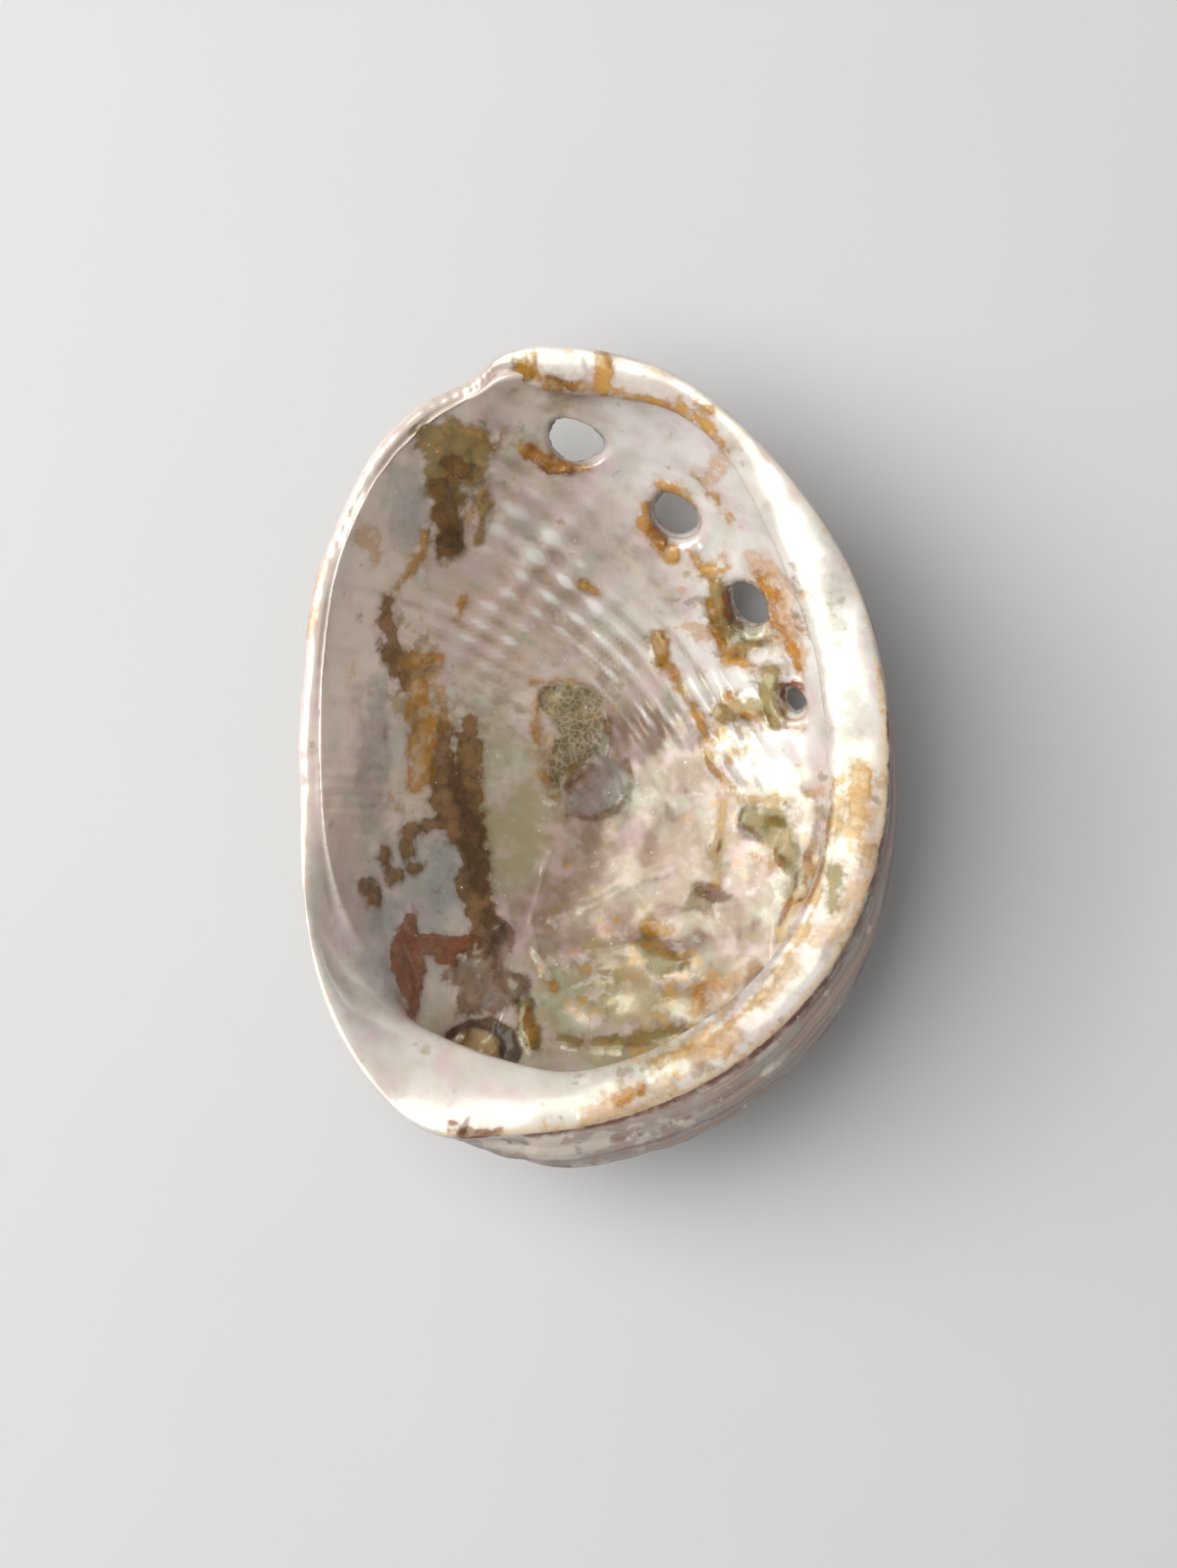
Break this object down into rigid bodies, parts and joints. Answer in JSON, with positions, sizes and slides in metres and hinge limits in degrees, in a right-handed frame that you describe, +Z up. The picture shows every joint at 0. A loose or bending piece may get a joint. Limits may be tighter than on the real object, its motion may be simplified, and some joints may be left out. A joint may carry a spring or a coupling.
{
  "type": "abalone shell",
  "caption": "Natural abalone shell lying on its back: an ear-shaped pearly bowl with a flat inner shelf, a curved row of breathing holes and a low spire.",
  "frame": {"origin": "on the surface the shell rests on, under the middle of its outline", "axes": "+Y along the length, away from the spire, +Z up out of the hollow, +X towards the row of holes and the wide shelf"},
  "size_m": [0.0736, 0.1008, 0.0292],
  "materials": {
    "nacre": "pearly nacre, worn and stained"
  },
  "bodies": {
    "root": {"shell": "nacre"}
  },
  "joints": []
}
